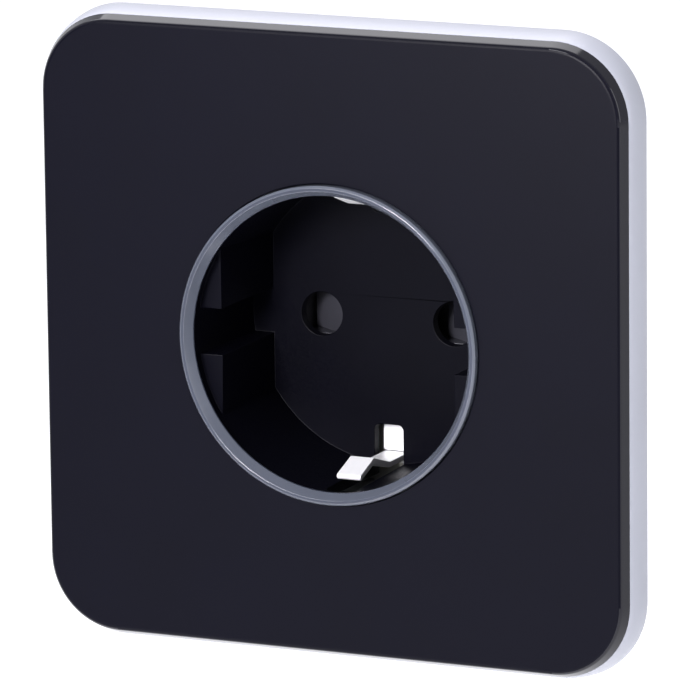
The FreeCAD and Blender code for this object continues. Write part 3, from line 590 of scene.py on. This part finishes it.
def makeLeds():
    low, high = (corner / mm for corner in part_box("leds"))
    length, width = ledShape["size"]
    form = addBlock(bmesh.new(), (-length / 2, low.y, ledShape["radius"] - width / 2),
                    (length / 2, high.y, ledShape["radius"] + width / 2), ledShape["edge"])
    sinkPanel(form, (0, -1, 0), ledShape["rim"], ledShape["sunk"])
    chip = form.verts[:] + form.edges[:] + form.faces[:]
    step = 2 * math.pi / ledShape["count"]
    bmesh.ops.rotate(form, verts=form.verts, cent=(0, 0, 0), matrix=Matrix.Rotation(step / 2, 3, "Y"))
    for index in range(1, ledShape["count"]):
        made = bmesh.ops.duplicate(form, geom=chip)
        verts = [item for item in made["geom"] if isinstance(item, bmesh.types.BMVert)]
        bmesh.ops.rotate(form, verts=verts, cent=(0, 0, 0), matrix=Matrix.Rotation(step * index, 3, "Y"))
    lensY = low.y + ledShape["sunk"] / 2
    piece = addPiece("lightChips", form, "cover", "boardWhite", ["leds"], ledShape["sharp"])
    otherFinish(piece, "ledCap", lambda point: lensY < point.y < lensY + ledShape["sunk"])


makeLeds()
print("spring and light chips made")

# Relay: a sealed case on a base, with a sunk panel and a vent nib
relayShape = {"edge": 0.5, "edgeSteps": 4, "base": 1.5, "baseInset": 0.22, "baseEdge": 0.15,
              "overlap": 0.5, "panel": 1.4, "panelDepth": 0.18, "nibR": 0.7, "nibTopR": 0.56,
              "nibFrom": (-2.5, 2.0), "nibRise": 0.16, "nibRoot": 0.3, "nibSteps": 32}


def makeRelay():
    low, high = (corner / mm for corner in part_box("relay"))
    inset, split = relayShape["baseInset"], high.y - relayShape["base"]
    form = addBlock(bmesh.new(), low, (high.x, split, high.z), relayShape["edge"],
                    relayShape["edgeSteps"])
    sinkPanel(form, (0, -1, 0), relayShape["panel"], relayShape["panelDepth"])
    addBlock(form, (low.x + inset, split - relayShape["overlap"], low.z + inset),
             (high.x - inset, high.y, high.z - inset), relayShape["baseEdge"])
    floor = low.y + relayShape["panelDepth"]
    top, root = floor - relayShape["nibRise"], floor + relayShape["nibRoot"]
    fromX, fromZ = relayShape["nibFrom"]
    turnedForm([(0, top), (relayShape["nibTopR"], top), (relayShape["nibR"], floor),
                (relayShape["nibR"], root), (0, root)],
               (high.x + fromX, 0, low.z + fromZ), steps=relayShape["nibSteps"], closed=False, form=form)
    piece = addPiece("relayCase", form, "core", "relayBlue", ["relay"])
    otherFinish(piece, "headerBlack", lambda point: point.y > split + slack)
    evenNormals(piece)


# Film capacitor: a box filled with resin from below
filmShape = {"edge": 0.45, "edgeSteps": 4, "panel": 0.7, "panelDepth": 0.12, "fill": 0.5,
             "fillInset": 0.45, "fillEdge": 0.1, "overlap": 0.5}


def makeFilmCapacitor():
    low, high = (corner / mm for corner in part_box("film_capacitor"))
    inset, split = filmShape["fillInset"], high.y - filmShape["fill"]
    form = addBlock(bmesh.new(), low, (high.x, split, high.z), filmShape["edge"], filmShape["edgeSteps"])
    sinkPanel(form, (0, -1, 0), filmShape["panel"], filmShape["panelDepth"])
    addBlock(form, (low.x + inset, split - filmShape["overlap"], low.z + inset),
             (high.x - inset, high.y, high.z - inset), filmShape["fillEdge"])
    piece = addPiece("filmCapacitor", form, "core", "filmYellow", ["film_capacitor"])
    evenNormals(piece)


# Bulk capacitor: sleeve with a rolled lip, groove at its foot, scored metal top
canShape = {"lip": 0.28, "topR": 2.55, "sunk": 0.22, "wall": (0.05, 0.08), "crest": 0.2, "groove": 0.28,
            "grooveUp": 1.9, "grooveHalf": (0.5, 0.15), "footEdge": 0.15, "steps": 64,
            "score": (1.9, 0.09, 0.1)}


def makeBulkCapacitor():
    low, high = (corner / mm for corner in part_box("bulk_capacitor"))
    middle = (low + high) / 2
    canR = (high.x - low.x) / 2
    top, foot, lip, topR = low.y, high.y, canShape["lip"], canShape["topR"]
    waistR, waist = canR - canShape["groove"], foot - canShape["grooveUp"]
    outerHalf, innerHalf = canShape["grooveHalf"]
    level, edge = top + canShape["sunk"], canShape["footEdge"]
    wallR, wallY = canShape["wall"]
    outline = [(0, level), (topR, level), (topR + wallR, top + wallY), (topR + canShape["crest"], top),
               (canR - lip, top), (canR - lip * 0.3, top + lip * 0.3), (canR, top + lip),
               (canR, waist - outerHalf), (waistR, waist - innerHalf), (waistR, waist + innerHalf),
               (canR, waist + outerHalf), (canR, foot - edge), (canR - edge, foot), (0, foot)]
    form = turnedForm(outline, (middle.x, 0, middle.z), steps=canShape["steps"], closed=False)
    reach, half, deep = canShape["score"]
    for reachX, reachZ in ((reach, half), (half, reach)):
        form = carved(form, addBlock(bmesh.new(), (middle.x - reachX, level - 1, middle.z - reachZ),
                                     (middle.x + reachX, level + deep, middle.z + reachZ)))
    piece = addPiece("bulkCapacitor", form, "core", "sleeveDark", ["bulk_capacitor"])
    otherFinish(piece, "aluminium", lambda point: point.y < level + deep + slack
                and math.hypot(point.x - middle.x, point.z - middle.z) < topR)


# Transformer: ferrite halves round a wound former, with a wrap of tape
transformerShape = {"coreFront": 1.0, "coreBack": 1.2, "formerInset": (0.8, 1.0, 0.8, 1.0), "flange": 0.9,
                    "flangeEdge": 0.15, "gap": 0.1, "edge": 0.35, "edgeSteps": 3, "tapeHalf": 1.7,
                    "tapeThick": 0.06, "winding": 0.6, "windingEdge": 0.6, "windingSteps": 4,
                    "windingEnd": 0.3}


def makeTransformer():
    low, high = (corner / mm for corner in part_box("power_transformer"))
    front, back = low.y + transformerShape["coreFront"], high.y - transformerShape["coreBack"]
    split, gap = (front + back) / 2, transformerShape["gap"] / 2
    edge, edgeSteps = transformerShape["edge"], transformerShape["edgeSteps"]
    core = addBlock(bmesh.new(), (low.x, front, low.z), (high.x, split - gap, high.z), edge, edgeSteps)
    addBlock(core, (low.x, split + gap, low.z), (high.x, back, high.z), edge, edgeSteps)
    evenNormals(addPiece("transformerCore", core, "core", "ferriteDark"))
    insetLeft, insetLow, insetRight, insetHigh = transformerShape["formerInset"]
    leftX, rightX = low.x + insetLeft, high.x - insetRight
    lowZ, highZ = low.z + insetLow, high.z - insetHigh
    flange, winding, end = (transformerShape[key] for key in ("flange", "winding", "windingEnd"))
    former = bmesh.new()
    for flangeY in ((low.y, low.y + flange), (high.y - flange, high.y)):
        addBlock(former, (leftX, flangeY[0], lowZ), (rightX, flangeY[1], highZ),
                 transformerShape["flangeEdge"])
    addBlock(former, (leftX + winding, low.y + end, lowZ + winding),
             (rightX - winding, high.y - end, highZ - winding), transformerShape["windingEdge"],
             transformerShape["windingSteps"])
    evenNormals(addPiece("transformerFormer", former, "core", "carrierWhite",
                         ["power_transformer"]))
    tape, half = transformerShape["tapeThick"], transformerShape["tapeHalf"]
    wrap = addBlock(bmesh.new(), (low.x - tape, split - half, low.z - tape),
                    (high.x + tape, split + half, high.z + tape), edge, edgeSteps)
    evenNormals(addPiece("transformerTape", wrap, "core", "tapeYellow"))


# Varistor: a dipped disc whose two legs run down to the board
varistorShape = {"outline": ((0, 0.22), (0.62, 0), (0.84, 0.22), (0.96, 0.8)), "steps": 72, "legs": 1.9,
                 "legR": 0.3, "run": 0.6, "legRoot": 2.2, "runEnd": 3.4, "bare": 0.3, "legSteps": 24,
                 "sharp": 50}


def makeVaristor():
    low, high = (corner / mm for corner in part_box("varistor"))
    middle = (low + high) / 2
    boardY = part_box("main_board")[0].y / mm
    discR = (high.z - low.z) / 2
    half = varistorShape["outline"]
    outline = [(discR * share, low.x + inset) for share, inset in half] + [(discR, middle.x)]
    outline += [(discR * share, high.x - inset) for share, inset in reversed(half)]
    form = turnedForm(outline, (0, middle.y, middle.z), "X", varistorShape["steps"], closed=False)
    run, legR = varistorShape["run"], varistorShape["legR"]
    root, runEnd = middle.y + varistorShape["legRoot"], middle.y + varistorShape["runEnd"]
    for side in (-1, 1):
        turnedForm([(0, root), (run, root), (run, runEnd), (legR, boardY - varistorShape["bare"]),
                    (legR, boardY), (0, boardY)],
                   (middle.x, 0, middle.z + side * varistorShape["legs"]),
                   steps=varistorShape["legSteps"], closed=False, form=form)
    addPiece("varistorDisc", form, "core", "epoxyBlue", ["varistor"],
             varistorShape["sharp"])


# Fuse: a ceramic barrel between two pressed caps
fuseShape = {"cap": 2.0, "waist": 0.16, "edge": 0.25, "dimple": 0.12, "dimpleR": 0.5, "curl": (0.06, 0.1),
             "steps": 56}


def makeFuse():
    low, high = (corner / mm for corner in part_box("fuse"))
    middle = (low + high) / 2
    fuseR, edge = (high.x - low.x) / 2, fuseShape["edge"]
    top, capEnd = low.y, low.y + fuseShape["cap"]
    curlR, curlY = fuseShape["curl"]
    half = [(0, top + fuseShape["dimple"]), (fuseR * fuseShape["dimpleR"], top), (fuseR - edge, top),
            (fuseR - edge * 0.3, top + edge * 0.3), (fuseR, top + edge), (fuseR, capEnd - curlY),
            (fuseR - curlR, capEnd), (fuseR - fuseShape["waist"], capEnd)]
    outline = half + [(radius, low.y + high.y - level) for radius, level in reversed(half)]
    form = turnedForm(outline, (middle.x, 0, middle.z), steps=fuseShape["steps"], closed=False)
    piece = addPiece("fuseBarrel", form, "core", "fuseCeramic", ["fuse"])
    otherFinish(piece, "tinnedCan", lambda point: not capEnd < point.y < low.y + high.y - capEnd)


# Radio shield: a drawn tin can with a sunk lid and a row of small holes
shieldShape = {"edge": 0.28, "edgeSteps": 4, "panel": 0.55, "panelDepth": 0.14, "holeR": 0.32,
               "holeDepth": 0.5, "holeSteps": 20, "holesY": (1.6, 4.9), "holesZ": (2.0, 4.9, 7.8)}


def makeShield():
    low, high = (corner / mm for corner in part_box("radio_shield"))
    form = addBlock(bmesh.new(), low, high, shieldShape["edge"], shieldShape["edgeSteps"])
    sinkPanel(form, (-1, 0, 0), shieldShape["panel"], shieldShape["panelDepth"])
    holeR, start, end = shieldShape["holeR"], low.x - 1, low.x + shieldShape["holeDepth"]
    cutter = bmesh.new()
    for y in shieldShape["holesY"]:
        for z in shieldShape["holesZ"]:
            turnedForm([(0, start), (holeR, start), (holeR, end), (0, end)],
                       (0, low.y + y, low.z + z), "X", shieldShape["holeSteps"], closed=False,
                       form=cutter)
    form = carved(form, cutter)
    addPiece("radioShield", form, "core", "tinnedCan", ["radio_shield"])


# Spring pins up to the light board: barrel, plunger and tail
pinShape = {"barrelFront": 1.6, "barrelBack": 0.7, "barrelEdge": 0.06, "plungerR": 0.3,
            "plungerTip": 0.25, "tipR": 0.18, "tipStep": 0.03, "tailR": 0.28, "pitch": 2.54, "steps": 28}


def makePins():
    low, high = (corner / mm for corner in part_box("contact_pins"))
    z, pinR = (low.z + high.z) / 2, (high.z - low.z) / 2
    front, back = low.y + pinShape["barrelFront"], high.y - pinShape["barrelBack"]
    edge, plungerR, tailR = pinShape["barrelEdge"], pinShape["plungerR"], pinShape["tailR"]
    outline = [(0, low.y), (pinShape["tipR"], low.y + pinShape["tipStep"]),
               (plungerR, low.y + pinShape["plungerTip"]), (plungerR, front), (pinR - edge, front),
               (pinR, front + edge), (pinR, back), (pinR - edge, back + edge), (tailR, back + edge),
               (tailR, high.y), (0, high.y)]
    form = bmesh.new()
    for place in (-1, 0, 1):
        turnedForm(outline, (place * pinShape["pitch"], 0, z), steps=pinShape["steps"], closed=False,
                   form=form)
    addPiece("springPins", form, "core", "goldPins", ["contact_pins"])


# Flat cable: film with raised tracks and a stiffener at each end
ribbonShape = {"tracks": 6, "trackHalf": 0.23, "trackSunk": 0.02, "trackEdge": 0.08, "film": 0.1,
               "filmEdge": 0.04, "stiff": 2.4, "stiffEdge": 0.06}


def makeRibbon():
    low, high = (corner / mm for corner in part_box("ribbon_cable"))
    film, tracks, sunk = ribbonShape["film"], ribbonShape["tracks"], ribbonShape["trackSunk"]
    front, back = low.y + ribbonShape["stiff"], high.y - ribbonShape["stiff"]
    form = addBlock(bmesh.new(), (low.x, low.y, low.z + film), (high.x, high.y, high.z - film),
                    ribbonShape["filmEdge"])
    half = ribbonShape["trackHalf"]
    pitch = (high.x - low.x) / tracks
    for index in range(tracks):
        x = low.x + pitch * (index + 0.5)
        addBlock(form, (x - half, front, low.z + sunk), (x + half, back, high.z - sunk),
                 ribbonShape["trackEdge"])
    for start, end in ((low.y, front), (back, high.y)):
        addBlock(form, (low.x, start, low.z), (high.x, end, high.z), ribbonShape["stiffEdge"])
    piece = addPiece("flatCable", form, "core", "filmAmber", ["ribbon_cable"])
    otherFinish(piece, "relayBlue", lambda point: not front < point.y < back)


for make in (makeRelay, makeFilmCapacitor, makeBulkCapacitor, makeTransformer, makeVaristor, makeFuse,
             makeShield, makePins, makeRibbon):
    make()
print("electronics made")

# Floor and a sweep up behind it
floorShape = {"reach": 2.2, "height": 1.5, "fold": 0.5, "foldSteps": 16, "gap": 120.0,
              "look": {"colour": (0.90, 0.90, 0.91), "rough": (0.5, 0.7), "grain": 40, "blotch": 2,
                       "bump": 0.02, "fade": 0.99, "glow": (1.0, 1.0, 1.0), "glowPower": 0.3}}


def makeFloor():
    form = bmesh.new()
    level = cadLow.z - floorShape["gap"] * mm
    bmesh.ops.create_grid(form, x_segments=1, y_segments=1, size=floorShape["reach"],
                          matrix=Matrix.Translation((0, 0, level)))
    farY = max(vert.co.y for vert in form.verts)
    farEdges = [edge for edge in form.edges if all(vert.co.y > farY - mm for vert in edge.verts)]
    raised = bmesh.ops.extrude_edge_only(form, edges=farEdges)["geom"]
    upper = [item for item in raised if isinstance(item, bmesh.types.BMVert)]
    bmesh.ops.translate(form, verts=upper, vec=(0, 0, floorShape["height"]))
    bmesh.ops.bevel(form, geom=farEdges, offset=floorShape["fold"], offset_type="OFFSET",
                    segments=floorShape["foldSteps"], profile=0.5, affect="EDGES", material=-1)
    mesh = bpy.data.meshes.new("studioFloor")
    form.to_mesh(mesh)
    form.free()
    mesh.shade_smooth()
    mesh.materials.append(finish("floorPale", floorShape["look"]))
    floor = bpy.data.objects.new("studioFloor", mesh)
    scene.collection.objects.link(floor)


makeFloor()

# World: pale all round, a little darker on the room side, so the black face keeps its depth
worldLook = {"frontY": -1.0, "backY": 0.6, "front": 0.18, "back": 1.05, "tint": (0.94, 0.95, 1.0)}


def makeWorld():
    world = bpy.data.worlds.new("studio")
    world.use_nodes = True
    tree = world.node_tree
    place = tree.nodes.new("ShaderNodeTexCoord")
    parts = tree.nodes.new("ShaderNodeSeparateXYZ")
    span = tree.nodes.new("ShaderNodeMapRange")
    span.inputs["From Min"].default_value = worldLook["frontY"]
    span.inputs["From Max"].default_value = worldLook["backY"]
    span.inputs["To Min"].default_value = worldLook["front"]
    span.inputs["To Max"].default_value = worldLook["back"]
    tree.links.new(place.outputs["Generated"], parts.inputs["Vector"])
    tree.links.new(parts.outputs["Y"], span.inputs["Value"])
    background = tree.nodes["Background"]
    background.inputs["Color"].default_value = (*worldLook["tint"], 1)
    tree.links.new(span.outputs["Result"], background.inputs["Strength"])
    scene.world = world


makeWorld()

# Soft boxes: name, place, width, height, power, colour, all aimed at the plate
softBoxes = [
    ("keyLight", (-0.16, -0.40, 0.34), 0.20, 0.20, 1.1, (0.96, 0.96, 1.0)),
    ("sheenLight", (-0.02, -0.34, 0.11), 0.10, 0.10, 2.1, (0.97, 0.95, 1.0)),
    ("topLight", (-0.45, 0.45, 1.10), 1.00, 0.80, 7.5, (0.98, 0.97, 1.0)),
    ("sideLight", (1.30, -0.10, 0.35), 0.50, 0.90, 4.0, (0.97, 0.97, 1.0)),
]


def makeLights():
    for name, place, width, height, power, colour in softBoxes:
        light = bpy.data.lights.new(name, "AREA")
        light.shape = "RECTANGLE"
        light.size = width
        light.size_y = height
        light.energy = power
        light.color = colour
        lamp = bpy.data.objects.new(name, light)
        lamp.location = place
        lamp.rotation_euler = (-Vector(place)).to_track_quat("-Z", "Y").to_euler()
        scene.collection.objects.link(lamp)


makeLights()

# Camera: where it stands and how it is turned about its own axis
cameraShape = {"azimuth": 24.883, "elevation": 11.706, "roll": -0.645, "distance": 0.913, "lens": 375.54,
               "sensor": 36.0, "targetX": 1.706, "targetZ": 0.891, "clip": (0.05, 20)}


def makeCamera():
    azimuth, elevation = math.radians(cameraShape["azimuth"]), math.radians(cameraShape["elevation"])
    back = Vector((math.sin(azimuth) * math.cos(elevation), -math.cos(azimuth) * math.cos(elevation),
                   math.sin(elevation)))
    target = Vector((cameraShape["targetX"] * mm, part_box("front_plate")[0].y,
                     cameraShape["targetZ"] * mm))
    camera = bpy.data.cameras.new("viewCamera")
    camera.lens = cameraShape["lens"]
    camera.sensor_width = cameraShape["sensor"]
    camera.clip_start, camera.clip_end = cameraShape["clip"]
    viewer = bpy.data.objects.new("viewCamera", camera)
    viewer.matrix_world = (Matrix.Translation(target + back * cameraShape["distance"])
                           @ (-back).to_track_quat("-Z", "Y").to_matrix().to_4x4()
                           @ Matrix.Rotation(math.radians(cameraShape["roll"]), 4, "Z"))
    scene.collection.objects.link(viewer)
    scene.camera = viewer


makeCamera()
scene.view_settings.view_transform = "Standard"
print("stage, lights and camera made")
